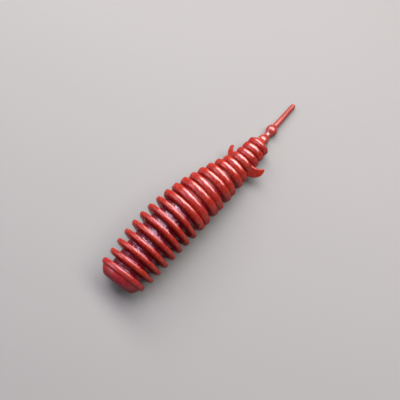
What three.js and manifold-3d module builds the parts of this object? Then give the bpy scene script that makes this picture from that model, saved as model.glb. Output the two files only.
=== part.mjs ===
import * as THREE from "three";
import { mergeVertices } from "three/addons/utils/BufferGeometryUtils.js";
import Module from "manifold-3d";

// A soft plastic larva bait, lying on its belly. Millimetres, +X from nose to tail, +Y to its left,
// +Z up, origin at the bottom centre of its bounding box. The bait is one soft moulding. Here it is
// split where it flexes: stiff ribs, beads and tail rods, with a short flexible solid between them.

// Stations along the body, from the centre of the first rib.
const RIB_COUNT = 20;
const NOSE_LENGTH = 2.65;
const BEAD_1_STATION = 47.2;
const BEAD_2_STATION = 50.1;
const TIP_STATION = 59.76;
const FRONT_PITCH = 2.4; // rib spacing at the nose
const PITCH_LOSS = 0.31; // how much closer the last two ribs stand

// Ribs. The rims are thin over the front of the body and fat and close together behind it.
const RIM_RADIUS_AT = [0, 2, 5, 9, 13, 16, 18, 19]; // rib index
const RIM_RADIUS = [5.54, 6.06, 6.33, 5.96, 4.74, 3.44, 2.93, 2.8];
const THIN_RIM_HALF = 0.6;
const FAT_RIM_HALF = 0.85;
const THIN_ROOT_HALF = 0.72; // half the rib's thickness where it meets the core
const FAT_ROOT_HALF = 0.85;
const LAST_THIN_RIM = 7; // rib index
const FIRST_FAT_RIM = 9;
const THIN_CORE_SHARE = 0.66; // core radius over rim radius
const FAT_CORE_SHARE = 0.72;

// The body's gentle S bend, seen from above, and the ribs that lean together in pairs.
const BEND_AT = [0, 11, 22, 31, 37.5, 44.1, 61.8]; // station
const BEND = [0.14, 0.86, 0.7, 0.1, -0.27, -0.03, 1.17]; // offset to the left
const FIRST_LEANING_RIB = 8; // rib index
const LAST_LEANING_RIB = 15;
const LEAN = THREE.MathUtils.degToRad(1.2);
const LEAN_SHIFT = 0.09;

// Nose cap.
const NOSE_FLAT_RADIUS = 2.8;
const NOSE_BASE_RADIUS = 4.75;
const NOSE_STEPS = 5;

// Flexible core between two ribs.
const WAIST_SHARE = 0.97; // radius over the core radius of its ribs
const WAIST_PINCH = 0.95; // radius at its middle over its ends

// Side hooks, which grow out of rib 17 and sweep back: a pointed one, and a short blunt one. The tip
// is out past the rim by out and behind the rib's centre by back. A share is tip width over base width.
const HOOK_RIB = 16; // rib index
const RIGHT_HOOK = { back: 2.95, out: 1.63, baseWidth: 2.2, thickness: 1.6, tipShare: 0.1 };
const LEFT_HOOK = { back: 2.05, out: 1.05, baseWidth: 1.5, thickness: 1.1, tipShare: 0.5 };
const HOOK_BASE_DEPTH = 0.5; // how far its root reaches down past the rim's crest
const HOOK_START = 0.15; // where its root is centred, behind the rib's centre
const HOOK_TURN = 0.2; // share of its reach back at which it has turned along the body
const HOOK_TAPER = 1.3; // above 1 keeps the hook wide near its root
const HOOK_ROOT_SHARE = 0.3; // share of the hook's length that flexes

// Tail.
const BEAD_1_RADIUS = 1.18;
const BEAD_2_RADIUS = 1.36;
const NECK_RADIUS = 0.62;
const NECK_START_RADIUS = 0.93; // where the tail's neck leaves the last rib
const NECK_START_HEIGHT = 1.9;
const ROD_RADIUS = 0.6;
const ROD_END_SHARE = 0.2; // share of the tip piece that is rounded
const ROD_ROOT_LENGTH = 1.3;
const ROD_MIDDLE_STATION = 55.6;
const ROD_MIDDLE_LENGTH = 1.2;
const TAIL_HEIGHT_AT = [BEAD_1_STATION, BEAD_2_STATION, 51.6, ROD_MIDDLE_STATION, TIP_STATION];
const TAIL_HEIGHT = [1.28, 1.36, 1.3, 1, 0.75]; // of the centre line

// Meshing.
const GAP = 0.05; // between two solids that are one moulding on the real bait
const SLIT = GAP / 2; // what each of two such pieces gives up where a curve is split
const RIB_SIDES = 20;
const RIM_STEPS = 5; // over the rim's round crest; odd, so that the crest itself is a flat band
const TAIL_SIDES = 12;
const HOOK_SIDES = 10;
const HOOK_STEPS = 5;
const BEAD_STEPS = 8;
const END_STEPS = 4;

const UP = new THREE.Vector3(0, 0, 1);
const RIM_COLOUR = 0xa8352c;
const CORE_COLOUR = 0x6e1a2a;
const TAIL_COLOUR = 0xb6463c;

function curveThrough(places, values) {
  const interpolant = new THREE.CubicInterpolant(places, values, 1, new Float64Array(1));
  return (at) => interpolant.evaluate(at)[0];
}

const rimRadiusOf = curveThrough(RIM_RADIUS_AT, RIM_RADIUS);
const bendAt = curveThrough(BEND_AT, BEND);

function bendAngleAt(station) {
  const step = 0.5; // over which the slope is taken
  const from = Math.max(station - step, 0);
  return Math.atan2(bendAt(station + step) - bendAt(from), station + step - from);
}

function ribStation(index) {
  let station = 0;
  for (let i = 0; i < index; i += 1) {
    station += FRONT_PITCH - PITCH_LOSS * (i / (RIB_COUNT - 2)) ** 3;
  }
  return station;
}

// A placement is the frame of one cross-section: its X axis is the direction of the body there.
function placement(position, direction) {
  const side = new THREE.Vector3().crossVectors(UP, direction).normalize();
  const top = new THREE.Vector3().crossVectors(direction, side);
  return new THREE.Matrix4().makeBasis(direction, side, top).setPosition(position);
}

function movedAlong(frame, distance) {
  return frame.clone().multiply(new THREE.Matrix4().makeTranslation(distance, 0, 0));
}

// How fat a rim is, from 0 at the front ribs to 1 at the rear ones.
function fatness(index) {
  return THREE.MathUtils.smoothstep(index, LAST_THIN_RIM, FIRST_FAT_RIM);
}

// The rim's middle band is flat, and one of its facets faces straight down, so each rib stands on it.
function ribDesign(index) {
  const fat = fatness(index);
  const radius = rimRadiusOf(index);
  const rimHalf = THREE.MathUtils.lerp(THIN_RIM_HALF, FAT_RIM_HALF, fat);
  const rootHalf = THREE.MathUtils.lerp(THIN_ROOT_HALF, FAT_ROOT_HALF, fat);
  const core = radius * THREE.MathUtils.lerp(THIN_CORE_SHARE, FAT_CORE_SHARE, fat);
  const bandRadius = radius - rimHalf * (1 - Math.cos(Math.PI / (2 * RIM_STEPS)));
  const leans = index >= FIRST_LEANING_RIB && index <= LAST_LEANING_RIB;
  const leanSign = leans ? (index % 2 === 0 ? 1 : -1) : 0;
  const station = ribStation(index);
  const yaw = bendAngleAt(station);
  const along = new THREE.Vector3(Math.cos(yaw), Math.sin(yaw), 0);
  const height = bandRadius * Math.cos(Math.PI / RIB_SIDES);
  const centre = new THREE.Vector3(station, bendAt(station), height);
  centre.addScaledVector(along, leanSign * LEAN_SHIFT);
  const direction = along.clone().applyAxisAngle(UP, leanSign * LEAN);
  return { radius, rimHalf, rootHalf, core, frame: placement(centre, direction) };
}

// A turned solid about the X axis, from a profile of [along, radius] points, with a facet facing down.
function turned(profile, sides) {
  const points = profile.map(([along, radius]) => new THREE.Vector2(radius, along));
  return new THREE.LatheGeometry(points, sides, Math.PI / sides).rotateZ(-Math.PI / 2);
}

// Points [along, radius] on an ellipse, from one angle to another, 90 degrees being outwards.
function arc(centreAlong, centreRadius, alongHalf, radiusHalf, fromDegrees, toDegrees, steps) {
  const [from, to] = [fromDegrees, toDegrees].map(THREE.MathUtils.degToRad);
  const ellipse = new THREE.EllipseCurve(centreAlong, centreRadius, alongHalf, radiusHalf, from, to, true);
  return ellipse.getPoints(steps).map(({ x, y }) => [x, y]);
}

const wasm = await Module();
wasm.setup();

function toSolid(geometry) {
  const bare = geometry.clone();
  bare.deleteAttribute("normal");
  bare.deleteAttribute("uv");
  const merged = mergeVertices(bare);
  const vertProperties = merged.getAttribute("position").array;
  const triVerts = new Uint32Array(merged.index.array);
  return new wasm.Manifold(new wasm.Mesh({ numProp: 3, vertProperties, triVerts }));
}

function toGeometry(solid) {
  const { vertProperties, triVerts } = solid.getMesh();
  const geometry = new THREE.BufferGeometry();
  geometry.setAttribute("position", new THREE.BufferAttribute(vertProperties, 3));
  geometry.setIndex(new THREE.BufferAttribute(triVerts, 1));
  return geometry;
}

function makeMesh(name, geometry, colour) {
  const material = new THREE.MeshStandardMaterial({ color: colour, roughness: 0.35, metalness: 0 });
  const mesh = new THREE.Mesh(geometry, material);
  mesh.name = name;
  return mesh;
}

function ribGeometry({ radius, rimHalf, rootHalf, core }) {
  const profile = [
    [-rootHalf, 0],
    [-rootHalf, core],
    ...arc(0, radius - rimHalf, rimHalf, rimHalf, 180, 0, RIM_STEPS),
    [rootHalf, core],
    [rootHalf, 0],
  ];
  return turned(profile, RIB_SIDES);
}

function makeRib(name, rib) {
  return makeMesh(name, ribGeometry(rib).applyMatrix4(rib.frame), RIM_COLOUR);
}

function makeNoseCap(rib) {
  const back = -rib.rootHalf - GAP;
  const overhang = NOSE_BASE_RADIUS - NOSE_FLAT_RADIUS;
  const shoulder = arc(back, NOSE_FLAT_RADIUS, NOSE_LENGTH + back, overhang, 180, 90, NOSE_STEPS);
  const geometry = turned([[-NOSE_LENGTH, 0], ...shoulder, [back, 0]], RIB_SIDES);
  return makeMesh("nose_cap", geometry.applyMatrix4(rib.frame), RIM_COLOUR);
}

// Stretches a turned solid of unit length and radius between two cross-sections.
function bridge(profile, sides, from, fromRadius, to, toRadius) {
  const geometry = turned(profile, sides);
  const position = geometry.getAttribute("position");
  for (let i = 0; i < position.count; i += 1) {
    const share = position.getX(i);
    const radius = THREE.MathUtils.lerp(fromRadius, toRadius, share);
    const section = new THREE.Vector3(0, position.getY(i) * radius, position.getZ(i) * radius);
    const end = section.clone().applyMatrix4(to);
    position.setXYZ(i, ...section.applyMatrix4(from).lerp(end, share));
  }
  return geometry;
}

// Profiles of unit length and radius for a bridge.
const PINCHED = [
  [0, 0],
  [0, 1],
  [0.5, WAIST_PINCH],
  [1, 1],
  [1, 0],
];
const STRAIGHT = [
  [0, 0],
  [0, 1],
  [1, 1],
  [1, 0],
];
const ROUNDED = [[0, 0], [0, 1], ...arc(1 - ROD_END_SHARE, 0, ROD_END_SHARE, 1, 90, 0, END_STEPS)];

function makeWaist(name, front, back) {
  const from = movedAlong(front.frame, front.rootHalf + GAP);
  const to = movedAlong(back.frame, -back.rootHalf - GAP);
  const geometry = bridge(PINCHED, RIB_SIDES, from, front.core * WAIST_SHARE, to, back.core * WAIST_SHARE);
  return makeMesh(name, geometry, CORE_COLOUR);
}

// A ball with a flat where each neck meets it.
function makeBead(name, frame, radius) {
  const opening = THREE.MathUtils.radToDeg(Math.asin(NECK_RADIUS / radius));
  const ball = arc(0, 0, radius, radius, 180 - opening, opening, BEAD_STEPS);
  const face = ball[BEAD_STEPS][0];
  const geometry = turned([[-face, 0], ...ball, [face, 0]], TAIL_SIDES);
  return makeMesh(name, geometry.applyMatrix4(frame), TAIL_COLOUR);
}

// Distance from a bead's centre to where its neck starts.
function neckDistance(beadRadius) {
  return Math.sqrt(beadRadius ** 2 - NECK_RADIUS ** 2) + GAP;
}

const tailHeightAt = curveThrough(TAIL_HEIGHT_AT, TAIL_HEIGHT);

function tailFrame(station) {
  const step = 0.3; // over which the direction is taken
  const here = new THREE.Vector3(station, bendAt(station), tailHeightAt(station));
  const ahead = new THREE.Vector3(station + step, bendAt(station + step), tailHeightAt(station + step));
  return placement(here, ahead.sub(here).normalize());
}

function makeNecks(lastRib, bead1, bead2) {
  const drop = NECK_START_HEIGHT - new THREE.Vector3().setFromMatrixPosition(lastRib.frame).z;
  const start = movedAlong(lastRib.frame, lastRib.rootHalf + GAP);
  start.premultiply(new THREE.Matrix4().makeTranslation(0, 0, drop));
  const toBead1 = movedAlong(bead1, -neckDistance(BEAD_1_RADIUS));
  const fromBead1 = movedAlong(bead1, neckDistance(BEAD_1_RADIUS));
  const toBead2 = movedAlong(bead2, -neckDistance(BEAD_2_RADIUS));
  const neck1 = bridge(PINCHED, TAIL_SIDES, start, NECK_START_RADIUS, toBead1, NECK_RADIUS);
  const neck2 = bridge(PINCHED, TAIL_SIDES, fromBead1, NECK_RADIUS, toBead2, NECK_RADIUS);
  return [makeMesh("tail_neck_1", neck1, TAIL_COLOUR), makeMesh("tail_neck_2", neck2, TAIL_COLOUR)];
}

function makeRod() {
  const start = BEAD_2_STATION + neckDistance(BEAD_2_RADIUS) - SLIT;
  const stations = [
    start,
    start + ROD_ROOT_LENGTH,
    ROD_MIDDLE_STATION - ROD_MIDDLE_LENGTH / 2,
    ROD_MIDDLE_STATION + ROD_MIDDLE_LENGTH / 2,
    TIP_STATION + SLIT,
  ];
  const pieces = [
    ["tail_rod_root", PINCHED],
    ["tail_rod_front", STRAIGHT],
    ["tail_rod_middle", PINCHED],
    ["tail_rod_tip", ROUNDED],
  ];
  return pieces.map(([name, profile], i) => {
    const from = tailFrame(stations[i] + SLIT);
    const to = tailFrame(stations[i + 1] - SLIT);
    return makeMesh(name, bridge(profile, TAIL_SIDES, from, ROD_RADIUS, to, ROD_RADIUS), TAIL_COLOUR);
  });
}

function makeTail(lastRib) {
  const bead1 = tailFrame(BEAD_1_STATION);
  const bead2 = tailFrame(BEAD_2_STATION);
  return [
    makeBead("tail_bead_1", bead1, BEAD_1_RADIUS),
    makeBead("tail_bead_2", bead2, BEAD_2_RADIUS),
    ...makeNecks(lastRib, bead1, bead2),
    ...makeRod(),
  ];
}

// A hook is a flattened horn. It leaves the rib outwards, and its curve turns back along the body.
function hookPath(rib, side, { back, out }) {
  const tipAt = rib.radius + out;
  return new THREE.QuadraticBezierCurve3(
    new THREE.Vector3(HOOK_START, side * (rib.radius - HOOK_BASE_DEPTH), 0),
    new THREE.Vector3(HOOK_TURN * back, side * tipAt, 0),
    new THREE.Vector3(back, side * tipAt, 0),
  );
}

// The stretch of a horn between two shares of its length.
function hornGeometry(path, { baseWidth, thickness, tipShare }, fromShare, toShare) {
  const profile = [[fromShare, 0]];
  for (let i = 0; i <= HOOK_STEPS; i += 1) {
    const share = THREE.MathUtils.lerp(fromShare, toShare, i / HOOK_STEPS);
    profile.push([share, 1 - (1 - tipShare) * share ** HOOK_TAPER]);
  }
  profile.push([toShare, 0]);
  const geometry = turned(profile, HOOK_SIDES);
  const position = geometry.getAttribute("position");
  for (let i = 0; i < position.count; i += 1) {
    const share = position.getX(i);
    const tangent = path.getTangent(share);
    const across = new THREE.Vector3(-tangent.y, tangent.x, 0);
    const point = path.getPoint(share);
    point.addScaledVector(across, (position.getY(i) * baseWidth) / 2);
    point.addScaledVector(UP, (position.getZ(i) * thickness) / 2);
    position.setXYZ(i, ...point);
  }
  return geometry;
}

// The horn starts inside the rib, so the rib, grown by the gap, is cut out of it.
function makeHookPiece(name, rib, path, hook, fromShare, toShare) {
  const grown = { ...rib, radius: rib.radius + GAP, rimHalf: rib.rimHalf + GAP, core: rib.core + GAP };
  const horn = toSolid(hornGeometry(path, hook, fromShare, toShare));
  const geometry = toGeometry(horn.subtract(toSolid(ribGeometry(grown))));
  return makeMesh(name, geometry.applyMatrix4(rib.frame), RIM_COLOUR);
}

function makeHooks(rib) {
  const sides = [
    ["left", 1, LEFT_HOOK],
    ["right", -1, RIGHT_HOOK],
  ];
  return sides.flatMap(([word, side, hook]) => {
    const path = hookPath(rib, side, hook);
    const slit = SLIT / path.getLength();
    return [
      makeHookPiece(`${word}_hook_root`, rib, path, hook, 0, HOOK_ROOT_SHARE - slit),
      makeHookPiece(`${word}_hook`, rib, path, hook, HOOK_ROOT_SHARE + slit, 1),
    ];
  });
}

function makeBait() {
  const group = new THREE.Group();
  const ribs = Array.from({ length: RIB_COUNT }, (_, index) => ribDesign(index));
  const numbered = (word, index) => `${word}_${String(index + 1).padStart(2, "0")}`;
  group.add(makeNoseCap(ribs[0]));
  ribs.forEach((rib, index) => group.add(makeRib(numbered("rib", index), rib)));
  ribs.slice(1).forEach((rib, index) => group.add(makeWaist(numbered("waist", index), ribs[index], rib)));
  group.add(...makeHooks(ribs[HOOK_RIB]));
  group.add(...makeTail(ribs[RIB_COUNT - 1]));
  const box = new THREE.Box3().setFromObject(group, true);
  const centre = box.getCenter(new THREE.Vector3());
  group.position.set(-centre.x, -centre.y, -box.min.z);
  return group;
}

const group = makeBait();

export default group;
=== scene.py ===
"""Looks of a ribbed soft-plastic larva bait, lying on its belly on a plain pale floor."""

import math

import bpy
import numpy as np
from mathutils import Euler, Matrix, Vector


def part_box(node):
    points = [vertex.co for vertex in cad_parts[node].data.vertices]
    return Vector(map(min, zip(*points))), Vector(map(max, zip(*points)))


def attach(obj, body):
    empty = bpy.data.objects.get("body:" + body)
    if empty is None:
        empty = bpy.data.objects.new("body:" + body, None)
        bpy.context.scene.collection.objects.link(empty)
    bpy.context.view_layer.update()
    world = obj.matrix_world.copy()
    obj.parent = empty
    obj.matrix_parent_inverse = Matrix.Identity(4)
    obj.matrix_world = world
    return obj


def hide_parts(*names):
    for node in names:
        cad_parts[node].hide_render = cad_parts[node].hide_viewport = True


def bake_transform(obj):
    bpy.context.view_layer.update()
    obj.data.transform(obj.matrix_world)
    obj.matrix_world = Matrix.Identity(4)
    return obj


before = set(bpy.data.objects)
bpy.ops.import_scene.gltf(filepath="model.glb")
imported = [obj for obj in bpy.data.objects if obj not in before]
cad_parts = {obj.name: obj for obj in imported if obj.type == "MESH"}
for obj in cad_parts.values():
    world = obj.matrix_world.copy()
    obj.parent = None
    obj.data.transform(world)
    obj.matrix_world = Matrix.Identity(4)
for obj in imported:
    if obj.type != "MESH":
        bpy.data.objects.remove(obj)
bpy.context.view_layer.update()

MM = 0.001
UP = np.array([0.0, 0.0, 1.0])
ON_FLOOR = np.array([1, 1, 0])  # times a point, it drops the point to the floor

# Ribs. A pair of values is for the thin ribs in front and for the fat ribs behind.
RIB_COUNT = 20
CAD_SIDES = 20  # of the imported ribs, whose lowest facet lies on the floor
CAD_RIM_STEPS = 5
CAD_RIM_HALF = (0.6 * MM, 0.85 * MM)  # half a packed rim's thickness
CAD_LEAN = math.radians(1.2)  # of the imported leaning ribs, to either side in turn
LAST_THIN_RIB = 8
FIRST_FAT_RIB = 10
RIB_HALF = (0.65 * MM, 1.0 * MM)  # half of what shows, at the rib's foot
RIB_DEPTH = (1.8 * MM, 1.3 * MM)  # from its crest to its foot
MOST_DEPTH_SHARE = 0.4  # of the rim radius
CREST_POWER = (3.0, 2.4)  # 2 is an ellipse, and more is squarer
LAST_BACK = 0.7  # the last rib is shorter behind its crest
CREST_SKEW = (0.38, 0.42)  # how far towards the tail the crest sits, as a share of the half width
SKEW_TAKEN_BACK = 0.8  # the rib moves forward by this share of its skew, to stay about its packed place
CORE_SHARE = 0.66  # of a thin rib's rim radius
GROOVE_SHARE = 0.97  # of a fat rib's depth, down to the core
RIB_FEET = ((0.98, 0.97), (0.9, 0.8))  # inside the core: shares of the half width and of the core's radius
LEANING_RIBS = range(9, 17)
EXTRA_LEAN = math.radians(0.6)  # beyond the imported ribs' own lean
EXTRA_SHIFT = 0.03 * MM  # along the body, to either side in turn
NOSE_LEAN = math.radians(3.6)  # of the first rib, fading over the next two
NOSE_LEAN_RIBS = 2.5
GLOW_HEIGHTS = (-0.1, 0.9)  # heights in the groove over which painted shade turns into a painted glow of light through thin plastic
CREST_STEPS = 27
RIB_ROUNDING = 1  # passes of corner cutting
NOSE_ROUNDING = 4
SIDES = 120
ANGLES = np.linspace(0, 2 * math.pi, SIDES, endpoint=False)
FLOOR_SOFTNESS = 0.05 * MM

# Unevenness of the moulding, as waves round each ring.
WAVE_ORDERS = (1, 2, 3, 5)
WAVE_SEEDS = {"sway": 100, "swell": 150, "rise": 190, "waist": 300}
RIB_SWAY = 0.045 * MM  # along the body
RIB_SWELL = 0.035  # of a rib's thickness
RIB_RISE = 0.03 * MM  # outwards
WAIST_WAVE = 0.05 * MM  # outwards

# Waists, which are the core between two ribs.
WAIST_RINGS = 33
WAIST_START = (0.28 * MM, 0.5 * MM)  # from a rib's middle, so inside it
WAIST_FLARE = (1.8 * MM, 1.0 * MM)  # how far it flares up towards its ribs
WAIST_POWER = (5.0, 1.5)  # the groove's bottom is a round U between thin ribs and a V between fat ones
# Share of painted glow on the core, between thin ribs and between fat ones; the rest is painted shade.
WAIST_GLOW = (0.0, 0.4)
FLARE_GLOW = 0.5  # painted glow added where it has flared up by FLARE_GLOW_RISE
FLARE_GLOW_RISE = 1.2 * MM

# Side hooks. The line is [back, out past the crest] in mm in the rib's own frame, for a curve of degree 2.
# Width, height and lift are in mm, at the root and at the tip. The taper is the power by which the width
# changes, and the round is the share of the length that rounds the tip.
HOOK_RIB = 17
HOOKS = {
    "right": {
        "line": ((-0.2, -1.6), (0.4, 1.95), (2.8, 1.6)),
        "width": (2.8, 0.35),
        "height": (2.2, 0.4),
        "lift": (0.65, 0.35),
        "taper": 1.5,
        "round": 0.06,
    },
    "left": {
        "line": ((-0.15, -0.6), (0.5, 0.8), (2.3, 1.2)),
        "width": (1.75, 0.85),
        "height": (1.5, 0.8),
        "lift": (0.4, 0.2),
        "taper": 0.8,
        "round": 0.1,
    },
}
HOOK_FLARE = 0.9 * MM  # extra height where a hook grows out of the rim
HOOK_FLARE_LENGTH = 0.3  # as a share of its length
HOOK_RIDGE = 0.5  # how far its top ridge sits towards its inner edge, as a share of the half width
HOOK_ROLL = math.radians(28)  # its inner edge is raised, fully from halfway along
HOOK_RINGS = 41
HOOK_SIDES = 48
HOOK_GLOW = (0.8, 1.0)  # painted glow of light through the thin hook, at the root, at the tip
TANGENT_STEP = 0.01
HOOK_LEAST_END = 0.001  # squared size of the last ring, which mustn't shrink to a point

# Nose cap and the rim of the first rib, as [along, radius] in mm from that rib's middle.
NOSE_PROFILE = (
    (-2.62, 0.1),
    (-2.59, 1.8),
    (-2.53, 3.1),
    (-2.35, 3.72),
    (-1.75, 4.36),
    (-1.25, 4.7),
    (-0.95, 4.84),
    (-0.76, 4.92),
    (-0.68, 5.2),
    (-0.5, 5.44),
    (-0.2, 5.54),
    (0.35, 5.6),
    (0.56, 5.35),
    (0.62, 4.7),
    (0.62, 4.0),
    (0.6, 3.4),
    (0.55, 2.9),
)
NOSE_SHIFT = 0.14 * MM  # to the left
# The nose gets this share of a rib's painted glow.
NOSE_GLOW = 0.8

# Tail.
BEAD_SHIFT = {0: 0.2 * MM, 1: -0.4 * MM, 2: -0.05 * MM}  # along the tail, where 0 is the last rib
BEAD_RADIUS = {1: 1.26 * MM, 2: 1.38 * MM}
TAIL_SWAY = 0.33 * MM  # to the left
TAIL_HEIGHT = 1.9 * MM  # where it leaves the last rib
TAIL_ROOT = 1 * MM  # how far inside the last rib it starts
TAIL_CURVE = 3  # degree of the curve that it follows across the floor
TAIL_SAMPLES = 400
TAIL_SMOOTHING = 25  # samples, for its height
NECK_RADIUS = 0.85 * MM  # between the beads
NECK_LENGTH = 1.3 * MM
CONE_RADIUS = 1.7 * MM  # more than the rod's, where it leaves the last rib
CONE_LENGTH = 1.25 * MM
ROD_RADIUS = (0.78 * MM, 0.58 * MM)  # at its root, at its tip
ROD_END = 0.62 * MM  # the length that rounds its tip
ROD_LEAST_END = 0.002
BLEND_POWER = 4  # how sharply the beads meet the rod
TAIL_OVERLAP = 0.15 * MM  # each length starts this far inside the one before, a little thinner:
TAIL_INSET = 0.9
TAIL_RINGS = 60
TIP_RINGS = 80
TAIL_SIDES = 64
# Share of painted glow over painted shade all along the tail.
TAIL_GLOW = 0.6
# For each length: its piece, the node where it bends, the node after that, which names its body, and the
# body that it grows from.
TAIL_LENGTHS = (
    ("tail_bead_1_soft", "tail_neck_1", "tail_bead_1", "segment_20"),
    ("tail_bead_2_soft", "tail_neck_2", "tail_bead_2", "tail_bead_1"),
    ("tail_rod_soft", "tail_rod_root", "tail_rod_front", "tail_bead_2"),
    ("tail_tip_soft", "tail_rod_middle", "tail_rod_tip", "tail_rod_front"),
)


def box_centre(node):
    low, high = (np.array(corner, float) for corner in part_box(node))
    return (low + high) / 2


def unit(vector):
    return vector / np.linalg.norm(vector)


def smoothstep(value, low, high):
    share = np.clip((value - low) / (high - low), 0, 1)
    return share * share * (3 - 2 * share)


def mix(pair, share):
    return pair[0] + (pair[1] - pair[0]) * share


def crowded(count):
    """Shares from 0 to 1 that crowd towards 1, where a tip is rounded."""
    return 1 - (1 - np.linspace(0, 1, count)) ** 1.5


# ---------------------------------------------------------------- camera and light

NOSE_ON_FLOOR = box_centre("rib_01") * ON_FLOOR
CAMERA_OFFSET = np.array([-0.90, -23.63, 109.84]) * MM  # from the floor under the nose
VIEW = unit(np.array([0.223, 0.214, -0.951]))  # the way the camera looks
SCREEN_RIGHT = unit(np.array([0.692, -0.722, 0.0]))
LENS = 43.2  # mm
SENSOR = 36  # mm across
CLIP = (0.005, 10)
WORLD_COLOUR = (0.93, 0.96, 1.0, 1)
WORLD_STRENGTH = 0.06
LIGHTS = (  # name, degrees to the tail and to the left, distance, size, power, colour, seen in the gloss
    ("key", 24, 10, 0.26, (0.1, 0.6), 2.85, (1, 0.96, 0.92), True),
    ("top", 4, 12, 0.3, (0.04, 0.16), 0.42, (0.86, 0.8, 1), True),
    ("sky", 0, 0, 1.2, (2, 2), 5, (0.95, 0.97, 1), False),
    ("fill", -55, 45, 0.3, (0.2, 0.2), 0.35, (0.86, 0.82, 1), True),
)


def make_camera():
    data = bpy.data.cameras.new("camera")
    data.lens, data.sensor_width = LENS, SENSOR
    data.clip_start, data.clip_end = CLIP
    camera = bpy.data.objects.new("camera", data)
    bpy.context.scene.collection.objects.link(camera)
    back = -VIEW
    right = unit(SCREEN_RIGHT - back * (SCREEN_RIGHT @ back))
    up = np.cross(back, right)
    place = Matrix.Identity(4)
    for column, axis in enumerate((right, up, back, NOSE_ON_FLOOR + CAMERA_OFFSET)):
        for row in range(3):
            place[row][column] = axis[row]
    camera.matrix_world = place
    bpy.context.scene.camera = camera


def make_area_light(name, to_tail, to_left, distance, size, power, colour, glints):
    """A soft strip, leaning from overhead by two angles, with its size along and across the body."""
    data = bpy.data.lights.new(name, "AREA")
    data.shape = "RECTANGLE"
    data.size, data.size_y = size
    data.energy, data.color = power, colour
    lamp = bpy.data.objects.new(name, data)
    lamp.visible_glossy = glints
    turn = Euler((-math.radians(to_left), math.radians(to_tail), 0))
    lamp.rotation_euler = turn
    lamp.location = turn.to_matrix() @ Vector((0, 0, distance))
    bpy.context.scene.collection.objects.link(lamp)


def make_world():
    world = bpy.data.worlds.new("studio")
    world.use_nodes = True
    background = world.node_tree.nodes["Background"]
    background.inputs["Color"].default_value = WORLD_COLOUR
    background.inputs["Strength"].default_value = WORLD_STRENGTH
    bpy.context.scene.world = world


# ---------------------------------------------------------------- materials

# Scales are noise cells to the metre. A range is the part of the noise that is spread from none to most.
CLOUD_SCALE = 420
CLOUD_RANGE = (0.45, 0.72)
MOST_CLOUD = 0.45
PATCH_RANGE = (0.3, 0.7)
MOST_PATCH = 0.16
SPECK_SCALE = 5200
SPECK_RANGE = (0.3, 0.7)
SPECK_SHADE = (0.88, 1.12)
SPECK_DEPTH = 0.004 * MM
SUBSURFACE = {"Weight": 0.85, "Radius": (1.0, 0.28, 0.22), "Scale": 0.9 * MM}
SPECULAR = 0.9
FACING_RANGE = (0.15, 0.65)
IOR = (1.5, 1.08)  # where it faces the eye, and where it turns away and its gloss fades
FLOOR_SIZE = 4
FLOOR_COLOUR = (0.185, 0.183, 0.18, 1)
FLOOR_ROUGHNESS = 0.85

# Colours of the painted shade deep in the grooves (also used for random patches), of the painted glow of
# light through thin plastic, and of the bloom. The gloss is a range of roughness, and the ripple is its
# noise scale and its depth in mm.
PLASTICS = {
    "rim_plastic": {
        "shade_and_patch": (0.13, 0.001, 0.004),
        "thin": (0.255, 0.015, 0.006),
        "bloom": (0.22, 0.010, 0.018),
        "gloss": (0.22, 0.32),
    },
    # The nose's bloom is bluer than the rims': random clouds that also paint in the cap's violet sheen.
    "nose_plastic": {
        "shade_and_patch": (0.14, 0.001, 0.005),
        "thin": (0.25, 0.013, 0.009),
        "bloom": (0.25, 0.02, 0.04),
    },
    "core_plastic": {
        "shade_and_patch": (0.13, 0.001, 0.006),
        "thin": (0.19, 0.004, 0.006),
        "bloom": (0.16, 0.008, 0.030),
        "gloss": (0.1, 0.2),
        "ripple": (1500, 0.2),
        "tint": (0.95, 0.8, 1),
    },
    # A darker copy of the core plastic for the narrow grooves between fat ribs: painted shade.
    "shaded_groove_plastic": {
        "shade_and_patch": (0.11, 0.001, 0.004),
        "thin": (0.15, 0.002, 0.004),
        "bloom": (0.13, 0.003, 0.012),
    },
    "tail_plastic": {
        "shade_and_patch": (0.22, 0.022, 0.016),
        "thin": (0.26, 0.030, 0.021),
        "bloom": (0.24, 0.026, 0.026),
        "gloss": (0.28, 0.38),
    },
}


def node_of(tree, kind, inputs=None, **settings):
    node = tree.nodes.new(kind)
    for key, value in settings.items():
        setattr(node, key, value)
    for key, value in (inputs or {}).items():
        if isinstance(value, bpy.types.NodeSocket):
            tree.links.new(value, node.inputs[key])
        else:
            node.inputs[key].default_value = value
    return node


def colour_mix(tree, factor, first, second, blend="MIX"):
    node = tree.nodes.new("ShaderNodeMix")
    node.data_type, node.blend_type = "RGBA", blend
    for socket, value in ((node.inputs[0], factor), (node.inputs[6], first), (node.inputs[7], second)):
        if isinstance(value, bpy.types.NodeSocket):
            tree.links.new(value, socket)
        else:
            socket.default_value = value
    return node.outputs[2]


def noise(tree, place, scale, detail, roughness=0.5):
    inputs = {"Vector": place, "Scale": scale, "Detail": detail, "Roughness": roughness}
    return node_of(tree, "ShaderNodeTexNoise", inputs).outputs["Fac"]


def ranged(tree, value, low, high, to_low, to_high):
    inputs = {"Value": value, "From Min": low, "From Max": high, "To Min": to_low, "To Max": to_high}
    return node_of(tree, "ShaderNodeMapRange", inputs).outputs["Result"]


def bump(tree, height, distance, **inputs):
    values = {"Height": height, "Strength": 1.0, "Distance": distance, **inputs}
    return node_of(tree, "ShaderNodeBump", values).outputs["Normal"]


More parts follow.
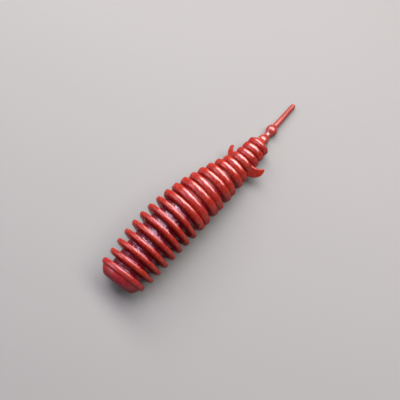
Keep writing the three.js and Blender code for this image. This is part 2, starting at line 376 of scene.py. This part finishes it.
def plastic(name, shade_and_patch, thin, bloom, gloss=(0.26, 0.36), ripple=(1100, 0.012), tint=(1, 0.95, 0.95)):
    """Translucent plastisol, with painted shade towards the core and a painted glow of light through the
    thin rims, clouded with bloom.
    """
    material = bpy.data.materials.new(name)
    material.use_nodes = True
    tree = material.node_tree
    shader = tree.nodes["Principled BSDF"]
    place = node_of(tree, "ShaderNodeTexCoord").outputs["Object"]
    glow_share = node_of(tree, "ShaderNodeAttribute", attribute_name="glow_share").outputs["Fac"]
    ripple_scale, ripple_depth = ripple
    cloud = noise(tree, place, CLOUD_SCALE, 3)
    patch = noise(tree, place, ripple_scale, 2)
    speck = noise(tree, place, SPECK_SCALE, 2, 0.6)
    # Painted shade where the glow share is 0, deep in the grooves, turning into a painted glow of light
    # through thin plastic where it is 1.
    base = colour_mix(tree, glow_share, (*shade_and_patch, 1), (*thin, 1))
    clouded = colour_mix(tree, ranged(tree, cloud, *CLOUD_RANGE, 0, MOST_CLOUD), base, (*bloom, 1))
    patched = colour_mix(tree, ranged(tree, patch, *PATCH_RANGE, 0, MOST_PATCH), clouded, (*shade_and_patch, 1))
    shades = {channel: ranged(tree, speck, *SPECK_RANGE, *SPECK_SHADE) for channel in (0, 1, 2)}
    grey = node_of(tree, "ShaderNodeCombineColor", shades)
    speckled = colour_mix(tree, 1.0, patched, grey.outputs["Color"], "MULTIPLY")
    tree.links.new(speckled, shader.inputs["Base Color"])
    tree.links.new(ranged(tree, patch, *PATCH_RANGE, *gloss), shader.inputs["Roughness"])
    waviness = bump(tree, patch, ripple_depth * MM)
    tree.links.new(bump(tree, speck, SPECK_DEPTH, Normal=waviness), shader.inputs["Normal"])
    for word, value in SUBSURFACE.items():
        shader.inputs[f"Subsurface {word}"].default_value = value
    facing = node_of(tree, "ShaderNodeLayerWeight", {"Blend": 0.5}).outputs["Facing"]
    tree.links.new(ranged(tree, facing, *FACING_RANGE, *IOR), shader.inputs["IOR"])
    shader.inputs["Specular IOR Level"].default_value = SPECULAR
    shader.inputs["Specular Tint"].default_value = (*tint, 1)
    return material


def floor_material():
    material = bpy.data.materials.new("floor")
    material.use_nodes = True
    shader = material.node_tree.nodes["Principled BSDF"]
    shader.inputs["Base Color"].default_value = FLOOR_COLOUR
    shader.inputs["Roughness"].default_value = FLOOR_ROUGHNESS
    return material


# ---------------------------------------------------------------- meshes


def settle(points):
    """Flattens whatever would reach below the floor, with a soft edge to the flat."""
    z = points[..., 2]
    edge = (z + FLOOR_SOFTNESS) ** 2 / (4 * FLOOR_SOFTNESS)
    bent = np.where(z > FLOOR_SOFTNESS, z, np.where(z < -FLOOR_SOFTNESS, 0.0, edge))
    return np.concatenate([points[..., :2], bent[..., None]], axis=-1)


def make_mesh(name, rings, glow_share, material):
    """A closed surface over rings of points, from one closed end to the other."""
    count, sides = rings.shape[:2]
    points = np.concatenate([rings.reshape(-1, 3), rings[0].mean(0)[None], rings[-1].mean(0)[None]])
    points = settle(points)
    faces = []
    for i in range(count - 1):
        for j in range(sides):
            k = (j + 1) % sides
            faces.append((i * sides + j, i * sides + k, (i + 1) * sides + k, (i + 1) * sides + j))
    first, last = count * sides, count * sides + 1
    for j in range(sides):
        k = (j + 1) % sides
        faces.append((first, k, j))
        faces.append((last, (count - 1) * sides + j, (count - 1) * sides + k))
    mesh = bpy.data.meshes.new(name)
    mesh.from_pydata(points.tolist(), [], faces)
    mesh.polygons.foreach_set("use_smooth", [True] * len(mesh.polygons))
    values = np.concatenate([np.repeat(glow_share, sides), [glow_share[0], glow_share[-1]]])
    attribute = mesh.attributes.new("glow_share", "FLOAT", "POINT")
    attribute.data.foreach_set("value", values.astype(np.float32))
    mesh.materials.append(material)
    mesh.update()
    obj = bpy.data.objects.new(name, mesh)
    bpy.context.scene.collection.objects.link(obj)
    return obj


def rounded(points, passes):
    """Cuts the corners of a line of points, keeping both ends."""
    points = np.array(points, float)
    for _ in range(passes):
        cut = np.empty((2 * len(points) - 2, 2))
        cut[0::2] = points[:-1] * 0.75 + points[1:] * 0.25
        cut[1::2] = points[:-1] * 0.25 + points[1:] * 0.75
        points = np.concatenate([points[:1], cut, points[-1:]])
    return points


def waves(kind, number, size):
    """A smooth unevenness round a ring, the same at every run."""
    rng = np.random.default_rng(WAVE_SEEDS[kind] + number)
    total = 0
    for order in WAVE_ORDERS:
        total = total + rng.normal() / order * np.cos(order * ANGLES + rng.uniform(0, 2 * math.pi))
    return size * total


def around(centre, radius, angles, side, top):
    """A ring of points about a centre."""
    return centre + (radius * np.sin(angles))[..., None] * side + (radius * np.cos(angles))[..., None] * top


class Rib:
    """A rib's place and sizes, read from its packed box."""

    def __init__(self, number):
        low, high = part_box(f"rib_{number:02d}")
        self.number = number
        self.centre = box_centre(f"rib_{number:02d}")
        before = box_centre(f"rib_{max(number - 1, 1):02d}")
        after = box_centre(f"rib_{min(number + 1, RIB_COUNT):02d}")
        along = unit((after - before) * ON_FLOOR)
        self.fat = float(smoothstep(number, LAST_THIN_RIB, FIRST_FAT_RIB))
        cad_half = mix(CAD_RIM_HALF, self.fat)
        band = (high[2] - low[2]) / 2 / math.cos(math.pi / CAD_SIDES)
        self.radius = band + cad_half * (1 - math.cos(math.pi / 2 / CAD_RIM_STEPS))
        self.half = mix(RIB_HALF, self.fat)
        self.depth = min(mix(RIB_DEPTH, self.fat), MOST_DEPTH_SHARE * self.radius)
        self.power = mix(CREST_POWER, self.fat)
        self.skew = mix(CREST_SKEW, self.fat)
        self.back = LAST_BACK if number == RIB_COUNT else 1
        self.centre = self.centre - along * SKEW_TAKEN_BACK * self.skew * self.half
        self.core = mix((CORE_SHARE * self.radius, self.radius - GROOVE_SHARE * self.depth), self.fat)
        lean = NOSE_LEAN * max(1 - (number - 1) / NOSE_LEAN_RIBS, 0)
        if number in LEANING_RIBS:
            sign = 1 if number % 2 else -1
            lean += sign * (CAD_LEAN + EXTRA_LEAN)
            self.centre = self.centre + along * sign * EXTRA_SHIFT
        cos, sin = math.cos(lean), math.sin(lean)
        self.along = np.array([along[0] * cos - along[1] * sin, along[0] * sin + along[1] * cos, 0])
        self.side = np.cross(UP, self.along)

    def height(self, profile):
        """How high each point stands in the groove: 0 at the core, 1 at the crest."""
        return (profile[:, 1] - self.core) / (self.radius - self.core)

    def rings(self, profile):
        """Turns a profile of [along, radius] points about the rib's axis, slightly unevenly."""
        share = np.clip(self.height(profile), 0, 1)[:, None]
        sway = waves("sway", self.number, RIB_SWAY) * share
        swell = 1 + waves("swell", self.number, RIB_SWELL) * share
        rise = waves("rise", self.number, RIB_RISE) * share
        along = profile[:, :1] * swell + sway
        centres = self.centre + along[..., None] * self.along
        return around(centres, profile[:, 1:] + rise, ANGLES, self.side, UP)

    # Share of painted glow over painted shade, from the height in the groove.
    def glow_share(self, profile):
        return smoothstep(self.height(profile), *GLOW_HEIGHTS)


def crest(rib):
    """The rib's rounded bump, from its front foot over the crest to its back foot."""
    angles = np.linspace(math.pi, 0, CREST_STEPS)
    cos, sin = np.cos(angles), np.sin(angles)
    across = np.sign(cos) * np.abs(cos) ** (2 / rib.power)
    along = rib.half * (across + rib.skew * (1 - across**2))
    along[along > 0] *= rib.back
    return np.stack([along, rib.radius - rib.depth * (1 - sin ** (2 / rib.power))], axis=1)


def rib_profile(rib):
    foot = [[rib.half * half_share, rib.core * core_share] for half_share, core_share in RIB_FEET]
    front = [[-along, radius] for along, radius in reversed(foot)]
    return rounded(np.concatenate([front, crest(rib), foot]), RIB_ROUNDING)


def make_rib(rib, material):
    profile = rib_profile(rib)
    name = f"rib_{rib.number:02d}"
    obj = make_mesh(name + "_soft", rib.rings(profile), rib.glow_share(profile), material)
    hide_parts(name)
    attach(obj, f"segment_{rib.number:02d}")


def make_nose(rib, material):
    """The blunt nose and the first rib, which is a rolled rim behind it."""
    profile = rounded(np.array(NOSE_PROFILE) * MM, NOSE_ROUNDING)
    rings = rib.rings(profile) + rib.side * NOSE_SHIFT
    obj = make_mesh("nose_soft", rings, rib.glow_share(profile) * NOSE_GLOW, material)
    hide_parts("nose_cap", "rib_01")
    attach(obj, "segment_01")


def make_waist(front, rear, material):
    """The core between two ribs, which flares up into both."""
    name = f"waist_{front.number:02d}"
    fat = (front.fat + rear.fat) / 2
    shares = np.linspace(0, 1, WAIST_RINGS)
    start = front.centre + front.along * mix(WAIST_START, fat)
    end = rear.centre - rear.along * mix(WAIST_START, fat)
    flare = mix(WAIST_FLARE, fat) * np.abs(2 * shares - 1) ** mix(WAIST_POWER, fat)
    wave = waves("waist", front.number, WAIST_WAVE)
    rings = []
    for share, lift in zip(shares, flare):
        radius = mix((front.core, rear.core), share) + lift + wave * math.sin(math.pi * share)
        side = unit(mix((front.side, rear.side), share))
        rings.append(around(mix((start, end), share), radius, ANGLES, side, UP))
    # Painted shade down in the groove, with painted glow rising up the flares.
    glow_share = mix(WAIST_GLOW, fat) + FLARE_GLOW * np.clip(flare / FLARE_GLOW_RISE, 0, 1)
    obj = make_mesh(name + "_soft", np.array(rings), glow_share, material)
    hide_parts(name)
    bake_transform(obj)


def bezier(points, share):
    a, b, c = points
    return a * (1 - share) ** 2 + b * 2 * share * (1 - share) + c * share**2


def make_hook(rib, word, material):
    """A flattened horn that flares out of the rim and sweeps back."""
    design = HOOKS[word]
    turn = 1 if word == "left" else -1
    line = [np.array([back * MM, turn * (rib.radius + out * MM)]) for back, out in design["line"]]
    angles = np.linspace(0, 2 * math.pi, HOOK_SIDES, endpoint=False)
    rings = []
    shares = crowded(HOOK_RINGS)
    for share in shares:
        here = bezier(line, share)
        tangent = unit(bezier(line, share + TANGENT_STEP) - bezier(line, share - TANGENT_STEP))
        across = np.array([-tangent[1], tangent[0]])
        end = max(share - (1 - design["round"]), 0) / design["round"]
        blunt = max(1 - end**2, HOOK_LEAST_END) ** 0.5
        width = mix(design["width"], share ** design["taper"]) * MM / 2 * blunt
        flare = HOOK_FLARE / 2 * math.exp(-((share / HOOK_FLARE_LENGTH) ** 2))
        height = mix(design["height"], share) * MM / 2 * blunt + flare
        ridge = HOOK_RIDGE * np.clip(np.sin(angles), 0, 1)
        sway = np.cos(angles) * (1 - ridge) - turn * ridge
        rise = -turn * sway * width * math.tan(HOOK_ROLL) * min(1, 2 * share)
        flat = here + (sway * width)[:, None] * across
        tall = np.sin(angles) * height + rise + mix(design["lift"], share) * MM
        rings.append(rib.centre + flat[:, :1] * rib.along + flat[:, 1:] * rib.side + tall[:, None] * UP)
    obj = make_mesh(f"{word}_hook_soft", np.array(rings), mix(HOOK_GLOW, shares), material)
    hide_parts(f"{word}_hook_root", f"{word}_hook")
    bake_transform(obj)


def sweep(centres, radii):
    """Rings about a smooth centre line, each square to it."""
    tangents = np.gradient(centres, axis=0)
    angles = np.linspace(0, 2 * math.pi, TAIL_SIDES, endpoint=False)
    rings = []
    for centre, tangent, radius in zip(centres, tangents, radii):
        tangent = unit(tangent)
        side = unit(np.cross(UP, tangent))
        rings.append(around(centre, radius, angles, side, np.cross(tangent, side)))
    return np.array(rings)


def tail_line():
    """The tail's centre line, in order of x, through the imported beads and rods."""
    nodes = ["rib_20", "tail_bead_1", "tail_bead_2", "tail_rod_front", "tail_rod_middle", "tail_rod_tip"]
    points = np.array([box_centre(node) for node in nodes])
    points[0, 2] = TAIL_HEIGHT
    last_low, last_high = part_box("tail_rod_tip")
    tip = np.array([last_high[0], 2 * points[-1, 1] - points[-2, 1], last_low[2] + ROD_RADIUS[1]])
    points = np.vstack([points, tip])
    x = np.linspace(points[0, 0] - TAIL_ROOT, points[-1, 0], TAIL_SAMPLES)
    y = np.polyval(np.polyfit(points[:, 0], points[:, 1], TAIL_CURVE), x) + TAIL_SWAY
    z = np.pad(np.interp(x, points[:, 0], points[:, 2]), TAIL_SMOOTHING // 2, "edge")
    z = np.convolve(z, np.ones(TAIL_SMOOTHING) / TAIL_SMOOTHING, "valid")
    return np.stack([x, y, z], axis=1)


def tail_radius(x, beads, end):
    """Radius of the tail at x: two beads on a thin rod that is a little thicker at its root."""
    rod = mix(ROD_RADIUS, np.clip((x - beads[2]) / (end - beads[2]), 0, 1))
    rod = rod + CONE_RADIUS * np.exp(-(((x - beads[0]) / CONE_LENGTH) ** 2))
    middle = (beads[1] + beads[2]) / 2
    rod = np.maximum(rod, NECK_RADIUS * np.exp(-(((x - middle) / NECK_LENGTH) ** 4)))
    near_end = np.clip((end - x) / ROD_END, 0, 1)
    rod = rod * np.sqrt(np.clip(1 - (1 - near_end) ** 2, ROD_LEAST_END, 1))
    total = rod**BLEND_POWER
    for number, radius in BEAD_RADIUS.items():
        ball = np.clip(radius**2 - (x - beads[number]) ** 2, 0, None) ** 0.5
        total = total + ball**BLEND_POWER
    return total ** (1 / BLEND_POWER)


def on_line(line, x):
    return np.stack([np.interp(x, line[:, 0], line[:, axis]) for axis in range(3)], axis=-1)


def make_tail(material):
    """The beads and the rod, in lengths that overlap a little at each bend."""
    line = tail_line()
    beads = {0: box_centre("rib_20")[0] + BEAD_SHIFT[0]}
    for number in BEAD_RADIUS:
        beads[number] = box_centre(f"tail_bead_{number}")[0] + BEAD_SHIFT[number]
    end = line[-1, 0]
    starts = [line[0, 0]] + [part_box(neck)[0][0] for _, neck, _, _ in TAIL_LENGTHS[1:]] + [end]
    for index, (name, neck, body, parent) in enumerate(TAIL_LENGTHS):
        low = starts[index] - (TAIL_OVERLAP if index else 0)
        x = np.linspace(low, starts[index + 1], TAIL_RINGS)
        if body == "tail_rod_tip":
            x = end - (end - low) * (1 - crowded(TIP_RINGS))
        centres = on_line(line, x)
        centres[:, 0] = x
        radii = tail_radius(x, beads, end)
        if index:
            radii[0] *= TAIL_INSET
        obj = make_mesh(name, sweep(centres, radii), np.full(len(x), TAIL_GLOW), material)
        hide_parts(neck, body)
        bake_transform(obj)


def make_floor():
    bpy.ops.mesh.primitive_plane_add(size=FLOOR_SIZE)
    floor = bpy.context.object
    floor.name = "floor"
    floor.data.materials.append(floor_material())


bpy.context.scene.view_settings.view_transform = "Standard"
make_camera()
make_world()
for light in LIGHTS:
    make_area_light(*light)
make_floor()

plastics = {name: plastic(name, **values) for name, values in PLASTICS.items()}
ribs = [Rib(number) for number in range(1, RIB_COUNT + 1)]
make_nose(ribs[0], plastics["nose_plastic"])
for rib in ribs[1:]:
    make_rib(rib, plastics["rim_plastic"])
for front, rear in zip(ribs, ribs[1:]):
    # The fat ribs' narrow grooves get the darker plastic, as painted shade.
    make_waist(front, rear, plastics["shaded_groove_plastic" if front.fat > 0.5 else "core_plastic"])
for word in ("left", "right"):
    make_hook(ribs[HOOK_RIB - 1], word, plastics["rim_plastic"])
make_tail(plastics["tail_plastic"])
